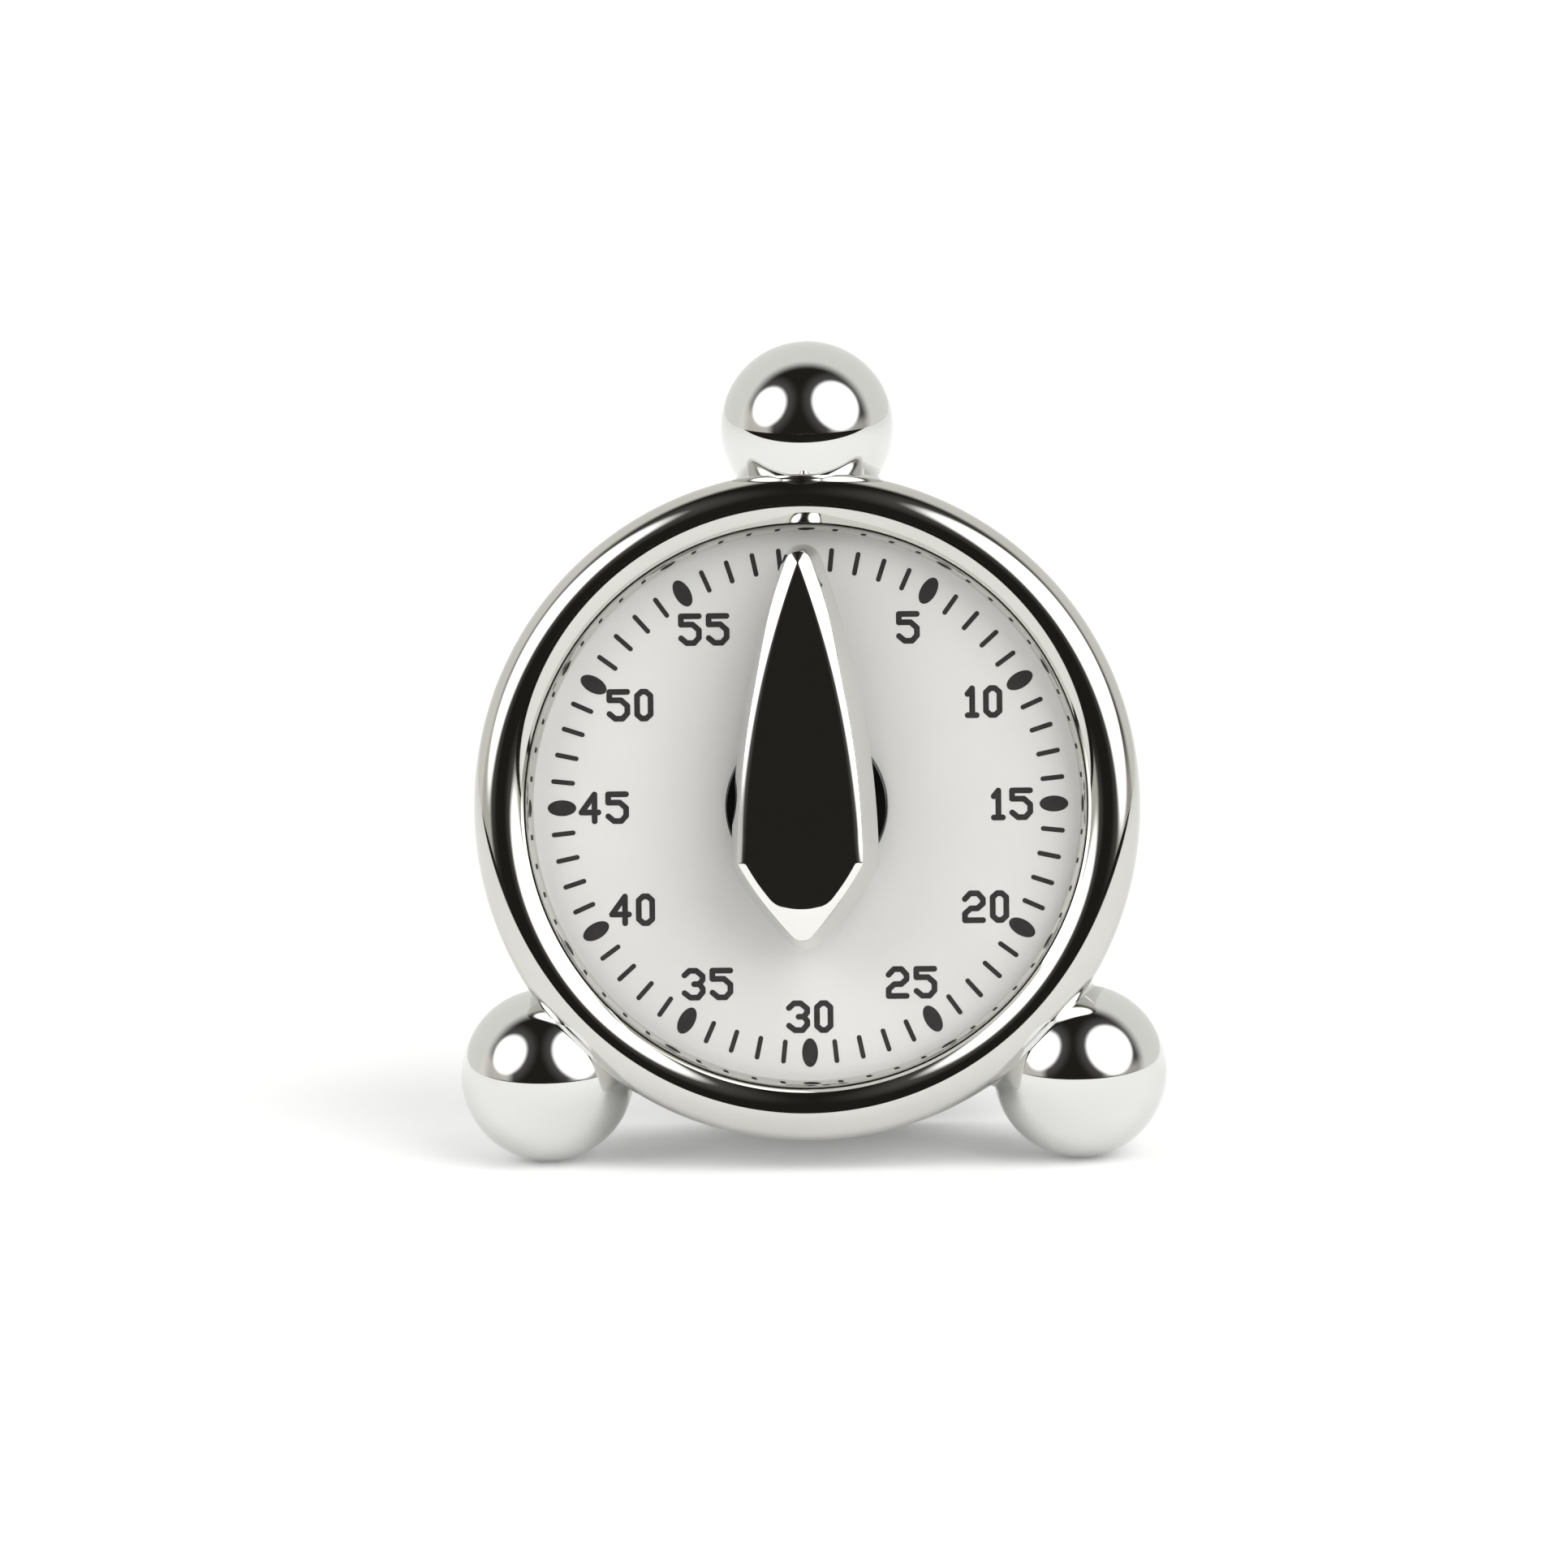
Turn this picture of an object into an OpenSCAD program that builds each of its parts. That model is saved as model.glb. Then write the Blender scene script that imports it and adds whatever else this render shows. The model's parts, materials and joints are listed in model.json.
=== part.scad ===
// Sixty minute kitchen timer: a drum case on two ball feet, leaning back on its rear edge.
// Sizes are millimetres. Each piece is drawn in the case frame (X right, Y up the dial, Z out
// of the dial, zero on the dial's face) and stood() then leans it back onto the table.

/* [Case] */
// Largest diameter of the front ring
ring_diameter = 78; // [76:0.5:80]
// Thickness of the round front ring
ring_thickness = 7; // [6.6:0.1:7.2]
// Wall thickness of the drum
shell_wall = 1.5; // [1.2:0.1:1.8]
// Angle the case leans back from upright
lean = 9; // [8.5:0.1:9.5]

/* [Balls] */
// Diameter of the two ball feet and the top ball
ball_diameter = 20.3; // [19.5:0.1:21]
// Distance from the dial's axis to the centre of each ball
ball_reach = 44.2; // [43.8:0.1:44.8]
// How far behind the dial the balls sit
ball_setback = 4.5; // [4:0.1:5]

/* [Knob] */
// Height of the knob's tip above the dial's axis
knob_tip = 30.5; // [29:0.25:31]
// Half width of the knob at its widest
knob_half_width = 8.6; // [8.2:0.1:9]
// Height of the knob's crown above the dial
knob_height = 11; // [10.5:0.1:12]
// Diameter of the black disc behind the knob
hub_diameter = 19; // [18:0.5:20]

/* [Bell] */
// Outer diameter of the bell
bell_diameter = 44; // [44:0.5:46]

/* [Hidden] */
$fn = 96;
ring_r = ring_thickness / 2;
ring_mid_r = ring_diameter / 2 - ring_r;
ring_mid_z = 1.5;
seam_z = -1;
drum_r = ring_mid_r + sqrt(ring_r * ring_r - (ring_mid_z - seam_z) * (ring_mid_z - seam_z));
drum_in_r = drum_r - shell_wall;
ball_r = ball_diameter / 2;
neck_r = sqrt(ball_r * ball_r - (ball_reach - 38.7) * (ball_reach - 38.7)) - 0.15;
foot_drop = ball_reach * sin(45);
// Height of the dial's axis above the table, and the drum's rear end that then touches it
axis_lift = foot_drop * cos(lean) + ball_setback * sin(lean) + ball_r;
edge_round = 1;
rear_z = (-axis_lift + edge_round + (drum_r - edge_round) * cos(lean)) / sin(lean) - edge_round;
cover_z = rear_z - 0.2;
cover_seat_z = rear_z + 1.6;
front_reach = 12 * sin(lean) + (knob_height - 0.4) * cos(lean);
rear_reach = (drum_r - edge_round) * sin(lean) - (rear_z + edge_round) * cos(lean) + edge_round;
knob_base_z = 4;
knob_side_h = knob_height - 0.8 - knob_base_z;
knob_draft = 1.1;
dial_thick = 0.6;
dial_r = 34;
dial_seat_z = -dial_thick;
fit_gap = 0.04;

// Heights in the movement, front plate to bell
front_plate_z = -6.4;
front_plate_back_z = -7.6;
rear_plate_front_z = -16;
rear_plate_z = -17;
plate_r = 27;
pillar_ring_r = 24.5;
pillar_angles = [15, 135, 255];
ear_ring_r = 32.5;
ear_angles = [30, 150, 270];
lug_ring_r = 32.8;
lug_angles = [90, 210, 330];
ball_angles = [90, 225, 315];
pivot_r = 0.5;
main_r = 2;
main_pivot_r = 1.2;
barrel_r = 17;

// Gear train: modules, tooth and leaf counts, and arbor places
great_module = 0.4;
second_module = 0.32;
third_module = 0.25;
great_teeth = 64;
second_teeth = 60;
third_teeth = 72;
escape_teeth = 20;
second_leaves = 8;
third_leaves = 8;
escape_leaves = 10;
great_second = great_module * (great_teeth + second_leaves) / 2;
second_third = second_module * (second_teeth + third_leaves) / 2;
third_escape = third_module * (third_teeth + escape_leaves) / 2;
third_ring_r = 14.6;
second_angle = 200;
third_angle = second_angle - apart(great_second, third_ring_r, second_third);
escape_angle = third_angle - apart(third_ring_r, third_ring_r, third_escape);
second_at = polar(great_second, second_angle);
third_at = polar(third_ring_r, third_angle);
escape_at = polar(third_ring_r, escape_angle);
second_leaf_turn = mesh_turn(second_angle, 0, great_teeth, second_leaves);
third_leaf_turn = mesh_turn(bearing(second_at, third_at), 0, second_teeth, third_leaves);
escape_leaf_turn = mesh_turn(bearing(third_at, escape_at), 0, third_teeth, escape_leaves);

// Escapement: two pins on a rocking verge straddle four and a half teeth
escape_r = 6;
escape_root_r = 5;
verge_pin_r = 0.22;
verge_span = 4.5 * 360 / escape_teeth / 2;
verge_pin_reach = escape_r + verge_pin_r + 0.06;
verge_distance = verge_pin_reach / cos(verge_span);
verge_ring_r = 15;
verge_angle = escape_angle - apart(third_ring_r, verge_ring_r, verge_distance);
verge_at = polar(verge_ring_r, verge_angle);
verge_bearing = bearing(escape_at, verge_at);
escape_turn = verge_bearing + verge_span - 0.75 * 360 / escape_teeth;

// Hammer, strike cam and bell
hammer_at = polar(16, -75);
head_at = polar(18.2, -35);
beak_at = polar(7.75, -130);
cam_r = 7;
cam_notch_r = 5.2;
bell_r = bell_diameter / 2;
bell_wall = 1;
bell_rim_z = -18.2;
bell_crown_z = -24.4;
stop_ring_r = 10;
stop_angle = 60;

// A point at a distance and an angle from the dial's axis
function polar(r, a) = [r * cos(a), r * sin(a)];
// Direction from one point to another
function bearing(p, q) = atan2(q[1] - p[1], q[0] - p[0]);
// Angle at the axis between points at radii a and b that are c apart
function apart(a, b, c) = acos((a * a + b * b - c * c) / (2 * a * b));
// Turn that puts a gear in mesh with one whose first tooth stands at angle turn
function mesh_turn(toward, turn, teeth, leaves) =
    toward + 180 - 180 / leaves + (toward - turn) * teeth / leaves;
// Involute of an angle, in degrees
function involute(a) = tan(a) * 180 / PI - a;
// Half the angle a tooth spans at radius r
function half_tooth(r, base_r, teeth, pressure, slack) =
    90 / teeth - slack + involute(pressure) - involute(acos(min(1, base_r / r)));

// Leans a piece back about the table and centres the whole timer on the origin
module stood() {
    translate([0, (front_reach - rear_reach) / 2, axis_lift])
        rotate([90 - lean, 0, 0])
            children();
}

// A washer or tube between two heights
module tube(outer_r, inner_r, low_z, high_z) {
    translate([0, 0, low_z])
        difference() {
            cylinder(h = high_z - low_z, r = outer_r);
            translate([0, 0, -1])
                cylinder(h = high_z - low_z + 2, r = inner_r);
        }
}

// A rod between two heights at a place on the plate
module rod(at, r, low_z, high_z) {
    translate([at[0], at[1], low_z])
        cylinder(h = high_z - low_z, r = r);
}

// A flat bar with round ends between two places
module bar(p, q, half_width, low_z, high_z) {
    length = sqrt((q[0] - p[0]) * (q[0] - p[0]) + (q[1] - p[1]) * (q[1] - p[1]));
    rod(p, half_width, low_z, high_z);
    rod(q, half_width, low_z, high_z);
    translate([p[0], p[1], low_z])
        rotate([0, 0, bearing(p, q)])
            translate([0, -half_width, 0])
                cube([length, 2 * half_width, high_z - low_z]);
}

// Gear outline: involute flanks above the base circle, radial below it
module gear_outline(teeth, size, addendum, dedendum, turn) {
    pressure = 25;
    pitch_r = teeth * size / 2;
    base_r = pitch_r * cos(pressure);
    tip_r = pitch_r + addendum * size;
    root_r = pitch_r - dedendum * size;
    slack = 0.055 * size / pitch_r * 180 / PI;
    low_r = max(base_r, root_r);
    radii = [root_r, low_r + 0.001, low_r + (tip_r - low_r) * 0.4,
             low_r + (tip_r - low_r) * 0.75, tip_r];
    halves = [for (r = radii) half_tooth(max(r, low_r), base_r, teeth, pressure, slack)];
    polygon([for (i = [0 : teeth - 1])
             for (k = [0 : 9])
             let (j = k < 5 ? k : 9 - k)
             polar(radii[j], turn + i * 360 / teeth + (k < 5 ? -1 : 1) * halves[j])]);
}

// A spoked wheel with a gear rim
module spoked_wheel(teeth, size, hub_r, bore_r, spokes, low_z, high_z, turn) {
    rim_r = teeth * size / 2 - 1.25 * size - 1.1;
    translate([0, 0, low_z])
        linear_extrude(high_z - low_z)
            difference() {
                gear_outline(teeth, size, 0.7, 1.2, turn);
                circle(r = rim_r);
            }
    difference() {
        union() {
            rod([0, 0], hub_r, low_z, high_z);
            for (i = [0 : spokes - 1])
                rotate([0, 0, i * 360 / spokes])
                    translate([0, -0.7, low_z])
                        cube([rim_r + 0.3, 1.4, high_z - low_z]);
        }
        rod([0, 0], bore_r, low_z - 1, high_z + 1);
    }
}

// An arbor between the plates with a leaf pinion and two pivots
module pinion_arbor(leaves, size, turn, low_z, high_z) {
    translate([0, 0, low_z])
        linear_extrude(high_z - low_z)
            gear_outline(leaves, size, 0.9, 1, turn);
    rod([0, 0], 0.8, rear_plate_front_z + 0.15, front_plate_back_z - 0.15);
    rod([0, 0], pivot_r, rear_plate_z + 0.05, front_plate_z - 0.1);
}

// A cross recessed screw pointing along -Z, its head's underside at height zero
module screw(head_r, head_h, shank_r, length) {
    difference() {
        union() {
            rod([0, 0], head_r, 0, head_h);
            rod([0, 0], shank_r, -length, 0.1);
        }
        translate([-head_r * 0.6, -0.25, head_h - 0.5])
            cube([head_r * 1.2, 0.5, 1]);
        translate([-0.25, -head_r * 0.6, head_h - 0.5])
            cube([0.5, head_r * 1.2, 1]);
    }
}

// Outside of the closed case, as everything round it has to clear it
module case_outside() {
    rod([0, 0], drum_r, rear_z - 5, seam_z);
    rotate_extrude()
        union() {
            intersection() {
                translate([ring_mid_r, ring_mid_z])
                    circle(r = ring_r);
                translate([0, seam_z - 0.01])
                    square([60, 20]);
            }
            translate([0, seam_z - 0.01])
                square([ring_mid_r, 20]);
        }
}

module bezel_ring() {
    color("silver")
        rotate_extrude()
            difference() {
                intersection() {
                    translate([ring_mid_r, ring_mid_z])
                        circle(r = ring_r);
                    translate([0, seam_z])
                        square([60, 20]);
                }
                translate([0, -10])
                    square([dial_r + 0.1, 10]);
                translate([0, -10.55])
                    square([dial_r + 1.15, 10]);
                translate([dial_r + 1.1, -5])
                    square([1.9, 6.5]);
                intersection() {
                    translate([ring_mid_r, ring_mid_z])
                        circle(r = ring_r - 1.2);
                    translate([0, ring_mid_z])
                        square([60, 20]);
                }
            }
}

// The drum: wall with a rounded rear edge, front tongue, dial seat, bosses and lugs
module case_shell() {
    color("silver")
        difference() {
            union() {
                rotate_extrude()
                    union() {
                        translate([drum_in_r, rear_z + edge_round])
                            square([shell_wall, seam_z - rear_z - edge_round]);
                        translate([drum_in_r, rear_z])
                            square([shell_wall - edge_round, edge_round + 0.5]);
                        intersection() {
                            translate([drum_r - edge_round, rear_z + edge_round])
                                circle(r = edge_round);
                            translate([drum_in_r, rear_z])
                                square([shell_wall, edge_round + 0.5]);
                        }
                        translate([dial_r + 1.2, seam_z - 0.9])
                            square([1.7, 2.7]);
                        translate([dial_r - 1, seam_z - 0.9])
                            square([3, seam_z + 0.9 - dial_thick + 1]);
                    }
                for (a = ear_angles)
                    rod(polar(ear_ring_r, a), 2.6, front_plate_z, seam_z - 0.3);
                for (a = lug_angles) {
                    rotate([0, 0, a + 180])
                        rod([-lug_ring_r, 0], 3, cover_seat_z, cover_seat_z + 6);
                    rotate([0, 0, a])
                        translate([lug_ring_r, -2.5, cover_seat_z])
                            cube([4.4, 5, 6]);
                }
            }
            for (a = ear_angles)
                rod(polar(ear_ring_r, a), 1.24, front_plate_z - 1, front_plate_z + 4);
            for (a = lug_angles)
                rod(polar(lug_ring_r, a), 1.24, cover_seat_z - 1, cover_seat_z + 5);
            for (a = ball_angles)
                rotate([0, 0, a])
                    translate([drum_in_r - 2, 0, -ball_setback])
                        rotate([0, 90, 0])
                            cylinder(h = 6, r = 1.7);
        }
}

module dial_plate() {
    color("whitesmoke")
        tube(dial_r, 3.2, -dial_thick, 0);
}

// A ball on a short flared neck, standing out from the case at an angle
module ball(angle) {
    color("silver")
        difference() {
            rotate([0, 0, angle])
                translate([0, 0, -ball_setback])
                    rotate([0, 90, 0])
                        difference() {
                            union() {
                                translate([0, 0, ball_reach])
                                    sphere(r = ball_r);
                                rotate_extrude()
                                    difference() {
                                        translate([0, 34])
                                            square([neck_r + 0.6, 4.7]);
                                        translate([neck_r + 1.15, 38.75])
                                            circle(r = 1.15);
                                    }
                            }
                            difference() {
                                rod([0, 0], 6, 30, ball_reach + 1);
                                rod([0, 0], 3, 29, ball_reach + 2);
                            }
                            rod([0, 0], 1.44, 30, ball_reach - 1);
                        }
            case_outside();
        }
}

module ball_screws() {
    color("gray")
        for (a = ball_angles)
            rotate([0, 0, a])
                translate([drum_in_r - 0.12, 0, -ball_setback])
                    rotate([0, -90, 0])
                        screw(2.4, 1.5, 1.4, 5.5);
}

// Rear cover with a screw recess over each lug and slots that let the bell sound out
module rear_cover() {
    color("dimgray")
        difference() {
            rod([0, 0], drum_in_r - 0.15, cover_z, cover_seat_z);
            for (a = lug_angles) {
                rod(polar(lug_ring_r, a), 1.4, cover_z - 1, cover_seat_z + 1);
                rod(polar(lug_ring_r, a), 2.4, cover_z - 1, cover_z + 1.1);
            }
            for (i = [-3 : 3])
                translate([-12 + abs(i) * 1.5, i * 5 - 0.8, cover_z - 1])
                    cube([24 - abs(i) * 3, 1.6, 5]);
        }
}

module cover_screws() {
    color("gray")
        for (a = lug_angles)
            translate([0, 0, cover_z + 1.1])
                rod_screw(polar(lug_ring_r, a), 2.2, 0.9, 1.2, 4.5);
}

// A screw driven in the +Z direction at a place on the plate
module rod_screw(at, head_r, head_h, shank_r, length) {
    translate([at[0], at[1], 0])
        rotate([180, 0, 0])
            screw(head_r, head_h, shank_r, length);
}

// Plate outline with three fixing ears
module eared_plate(low_z, high_z) {
    rod([0, 0], plate_r, low_z, high_z);
    for (a = ear_angles)
        rotate([0, 0, a]) {
            rod([ear_ring_r, 0], 2.8, low_z, high_z);
            translate([plate_r - 4, -2.3, low_z])
                cube([ear_ring_r - plate_r + 4, 4.6, high_z - low_z]);
        }
}

module front_plate() {
    color("goldenrod")
        difference() {
            eared_plate(front_plate_back_z, front_plate_z);
            rod([0, 0], main_r + fit_gap, -9, -5);
            for (at = [second_at, third_at, escape_at, verge_at, hammer_at])
                rod(at, pivot_r + fit_gap, -9, -5);
            for (a = pillar_angles)
                rod(polar(pillar_ring_r, a), 1.1, -9, -5);
            for (a = ear_angles)
                rod(polar(ear_ring_r, a), 1.4, -9, -5);
            rod(polar(stop_ring_r, stop_angle), 0.4, -9, -7);
        }
}

module rear_plate() {
    color("goldenrod")
        difference() {
            rod([0, 0], plate_r, rear_plate_z, rear_plate_front_z);
            rod([0, 0], main_pivot_r + fit_gap, -18, -15);
            for (at = [second_at, third_at, escape_at, verge_at, hammer_at])
                rod(at, pivot_r + fit_gap, -18, -15);
            for (a = pillar_angles)
                rod(polar(pillar_ring_r, a), 1.1, -18, -15);
            rod(head_at, 2.4, -18, -15);
        }
}

module pillars() {
    color("silver")
        for (a = pillar_angles)
            difference() {
                rod(polar(pillar_ring_r, a), 1.75, rear_plate_front_z, front_plate_back_z);
                rod(polar(pillar_ring_r, a), 1.02, rear_plate_front_z - 1, -12.8);
                rod(polar(pillar_ring_r, a), 1.02, -10.8, front_plate_back_z + 1);
            }
}

module pillar_screws() {
    color("gray")
        for (a = pillar_angles) {
            translate([0, 0, front_plate_z])
                translate(concat(polar(pillar_ring_r, a), [0]))
                    screw(2, 1.1, 1, 4);
            translate([0, 0, rear_plate_z])
                rod_screw(polar(pillar_ring_r, a), 2, 1.1, 1, 4);
        }
}

module movement_screws() {
    color("gray")
        for (a = ear_angles)
            translate([0, 0, front_plate_back_z])
                rod_screw(polar(ear_ring_r, a), 2.3, 1.3, 1.2, 4.5);
}

module spring_barrel() {
    color("khaki") {
        tube(barrel_r, barrel_r - 0.6, front_plate_z, -1.6);
        tube(barrel_r - 0.3, 2.6, front_plate_z, front_plate_z + 0.5);
    }
}

// A flat strip wound as an open spiral from the arbor out to the barrel's wall
module mainspring() {
    turns = 7;
    inner_r = 2.8;
    outer_r = barrel_r - 0.8;
    strip = 0.35;
    steps = 24 * turns;
    color("slategray")
        translate([0, 0, -5.6])
            linear_extrude(3.8)
                polygon(concat(
                    [for (i = [0 : steps])
                     polar(inner_r + (outer_r - inner_r - strip) * i / steps, i * 15)],
                    [for (i = [steps : -1 : 0])
                     polar(inner_r + (outer_r - inner_r - strip) * i / steps + strip, i * 15)]));
}

module stop_pin() {
    color("gray")
        rod(polar(stop_ring_r, stop_angle), 0.4, -8.45, -7);
}

module main_arbor() {
    color("gray") {
        rod([0, 0], main_r, rear_plate_front_z + 0.1, 8.4);
        rod([0, 0], main_pivot_r, rear_plate_z + 0.1, rear_plate_front_z + 0.5);
    }
}

// A drafted wall of the knob: outside it is a cone's side, with a bevel round its top
module knob_wall(at_x, at_y, r, inset) {
    translate([at_x, at_y, knob_base_z])
        cylinder(h = knob_side_h, r1 = r - inset, r2 = r - inset - knob_draft, $fn = 360);
    translate([at_x, at_y, knob_base_z + knob_side_h])
        cylinder(h = 1.6, r1 = r - inset - knob_draft, r2 = r - inset - knob_draft - 3, $fn = 360);
}

// The knob's solid form: two long bowed sides that close to a blunt tip, a shorter bowed
// pair that closes to the lower point, a long crown and a sloping facet at the lower end
module knob_form(inset) {
    bow_r = 104;
    low_r = 38.9;
    wide_y = knob_tip - 37.5;
    intersection() {
        knob_wall(bow_r - knob_half_width, wide_y, bow_r, inset);
        knob_wall(knob_half_width - bow_r, wide_y, bow_r, inset);
        knob_wall(low_r - knob_half_width - 4.7, wide_y + 18.5, low_r, inset);
        knob_wall(knob_half_width + 4.7 - low_r, wide_y + 18.5, low_r, inset);
        translate([-20, knob_tip - 22, knob_height - 300 - inset])
            rotate([0, 90, 0])
                cylinder(h = 40, r = 300, $fn = 1440);
        union() {
            translate([0, knob_tip - 35.8, knob_height - 5.6 - inset])
                cylinder(h = 5.6, r1 = 23.7, r2 = 5.3, $fn = 180);
            translate([0, knob_tip - 35.8, knob_height - 14])
                cylinder(h = 8.5 - inset, r = 23.7, $fn = 180);
            translate([-20, knob_tip - 35.8, 0])
                cube([40, 40, 20]);
        }
    }
}

// One round end of the knob, drafted and bevelled like its walls
module knob_end(at_y, r) {
    translate([0, at_y, knob_base_z])
        cylinder(h = knob_side_h, r1 = r, r2 = r - knob_draft);
    translate([0, at_y, knob_base_z + knob_side_h])
        cylinder(h = 0.6, r1 = r - knob_draft, r2 = r - knob_draft - 1.1);
}

module pointer_knob() {
    color("silver")
        difference() {
            union() {
                difference() {
                    intersection() {
                        knob_form(0);
                        union() {
                            knob_end(knob_tip - 2.34, 2.34);
                            knob_end(knob_tip - 44.45, 2.8);
                            translate([-20, knob_tip - 46.42, 0])
                                cube([40, 44.89, 20]);
                        }
                    }
                    intersection() {
                        translate([0, 0, -0.01])
                            knob_form(1.3);
                        translate([-20, knob_tip - 44, 0])
                            cube([40, 40.5, 20]);
                    }
                }
                rod([0, 0], 3.6, knob_base_z, knob_height - 1);
            }
            rod([0, 0], main_r + 0.02, 3, 8.5);
        }
}

module hub_disc() {
    color("black")
        difference() {
            union() {
                rod([0, 0], hub_diameter / 2, 0.4, 1.9);
                rod([0, 0], 5.2, 1.9, 4);
            }
            rod([0, 0], main_r + 0.02, 0, 5);
        }
}

// Great wheel, with the pin that meets the fixed stop at both ends of the turn
module great_wheel() {
    color("gold") {
        spoked_wheel(great_teeth, great_module, 3.6, main_r + 0.01, 4, -9.6, -8.6, 0);
        rotate([0, 0, stop_angle - 5])
            bar([stop_ring_r, 0], [stop_ring_r + 0.9, 0], 0.4, -8.7, -7.8);
    }
}

// Three armed spring plate that lets the knob be wound without turning the train
module winding_click() {
    color("silver")
        difference() {
            union() {
                rod([0, 0], 3.4, -10.1, -9.7);
                for (a = [90, 210, 330])
                    bar(polar(2.6, a), polar(3.8, a + 55), 0.45, -10.1, -9.7);
            }
            rod([0, 0], main_r + 0.01, -11, -9);
        }
}

// Cam with the notch that lets the hammer's beak drop as the knob comes back to zero
module strike_cam() {
    color("gold")
        difference() {
            rod([0, 0], cam_r, -14.5, -13.7);
            rod([0, 0], main_r + 0.01, -15, -13);
            rotate([0, 0, -125])
                translate([cam_notch_r, -2.6, -15])
                    cube([4, 5.2, 2]);
        }
}

module second_pinion() {
    color("silver")
        translate(concat(second_at, [0]))
            pinion_arbor(second_leaves, great_module, second_leaf_turn, -9.9, -8.3);
}

module second_wheel() {
    color("gold")
        translate(concat(second_at, [0]))
            spoked_wheel(second_teeth, second_module, 2.2, 0.81, 4, -11.3, -10.6, 0);
}

module third_pinion() {
    color("silver")
        translate(concat(third_at, [0]))
            pinion_arbor(third_leaves, second_module, third_leaf_turn, -11.6, -10.3);
}

module third_wheel() {
    color("gold")
        translate(concat(third_at, [0]))
            spoked_wheel(third_teeth, third_module, 2, 0.81, 4, -12.9, -12.3, 0);
}

module escape_pinion() {
    color("silver")
        translate(concat(escape_at, [0]))
            pinion_arbor(escape_leaves, third_module, escape_leaf_turn, -13.2, -12);
}

// Star wheel with pointed teeth
module escape_wheel() {
    color("gold")
        translate([escape_at[0], escape_at[1], -14.6])
            difference() {
                linear_extrude(0.6)
                    polygon([for (i = [0 : escape_teeth - 1])
                             for (s = [[-8.2, escape_root_r], [-0.6, escape_r],
                                       [0.6, escape_r], [8.2, escape_root_r]])
                             polar(s[1], escape_turn + i * 360 / escape_teeth + s[0])]);
                translate([0, 0, -1])
                    cylinder(h = 3, r = 0.81);
                for (a = [0 : 72 : 288])
                    translate([3 * cos(a), 3 * sin(a), -1])
                        cylinder(h = 3, r = 1.05);
            }
}

module verge_arbor() {
    color("silver") {
        rod(verge_at, 0.8, rear_plate_front_z + 0.15, front_plate_back_z - 0.15);
        rod(verge_at, pivot_r, rear_plate_z + 0.05, front_plate_z - 0.1);
    }
}

// Rocking verge: a weighted bar and two pins that reach over the escape wheel's rim
module verge() {
    weights = [for (s = [-1, 1]) verge_at + s * polar(7, verge_bearing + 90)];
    pins = [for (s = [-1, 1]) escape_at + polar(verge_pin_reach, verge_bearing + s * verge_span)];
    color("lightsteelblue")
        difference() {
            union() {
                bar(weights[0], weights[1], 0.9, -15.6, -15);
                for (w = weights)
                    rod(w, 1.8, -15.7, -14.9);
                rod(verge_at, 1.7, -15.7, -14.9);
                for (p = pins) {
                    bar(verge_at, p, 0.6, -15.6, -15);
                    rod(p, verge_pin_r, -15.1, -13.7);
                }
            }
            rod(verge_at, 0.81, -17, -13);
        }
}

module hammer_arbor() {
    color("silver") {
        rod(hammer_at, 0.8, rear_plate_front_z + 0.15, front_plate_back_z - 0.15);
        rod(hammer_at, pivot_r, rear_plate_z + 0.05, front_plate_z - 0.1);
    }
}

// Two armed lever: the stem of the head on one arm, the beak over the cam on the other
module hammer_arm() {
    color("silver")
        difference() {
            union() {
                bar(hammer_at, head_at, 1.1, -15.5, -14.9);
                bar(hammer_at, beak_at, 0.9, -15.5, -14.9);
                rod(hammer_at, 1.9, -15.6, -14.2);
                rod(beak_at, 0.6, -15, -13.8);
                rod(head_at, 0.8, -20.6, -15.4);
            }
            rod(hammer_at, 0.81, -17, -13);
        }
}

module hammer_head() {
    color("gold")
        difference() {
            rod(head_at, 1.5, -21.2, -17.9);
            rod(head_at, 0.81, -20.61, -17);
        }
}

// Torsion spring round the hammer's arbor
module hammer_spring() {
    color("slategray") {
        for (i = [0 : 6])
            translate([hammer_at[0], hammer_at[1], -9.6 - i * 0.45])
                rotate_extrude()
                    translate([1.25, 0])
                        circle(r = 0.25, $fn = 24);
        translate([hammer_at[0], hammer_at[1], -12.3])
            rotate([0, 90, bearing(hammer_at, head_at) + 90])
                translate([0, -1.25, 0])
                    cylinder(h = 5, r = 0.24, $fn = 24);
    }
}

// Bell: a shallow cup, its mouth towards the movement
module bell() {
    color("lightsteelblue")
        difference() {
            rotate_extrude()
                difference() {
                    bell_half(bell_r, bell_crown_z);
                    bell_half(bell_r - bell_wall, bell_crown_z + bell_wall);
                    translate([-1, bell_rim_z])
                        square([60, 20]);
                }
            rod([0, 0], 1.6, -30, -20);
        }
}

// Half section of a cup with a rounded corner
module bell_half(r, crown_z) {
    corner = r - bell_r + 4;
    translate([0, crown_z])
        square([r - corner, 20]);
    translate([0, crown_z + corner])
        square([r, 20]);
    translate([r - corner, crown_z + corner])
        circle(r = corner);
}

module bell_post() {
    color("gray")
        difference() {
            union() {
                rod([0, 0], 4.5, rear_plate_z - 0.9, rear_plate_z);
                rod([0, 0], 2.4, bell_crown_z + bell_wall, rear_plate_z - 0.5);
            }
            rod([0, 0], 1.22, bell_crown_z, rear_plate_z - 1.5);
        }
}

module bell_screw() {
    color("gray")
        translate([0, 0, bell_crown_z])
            rod_screw([0, 0], 2.4, 1.1, 1.2, 4.5);
}

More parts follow.
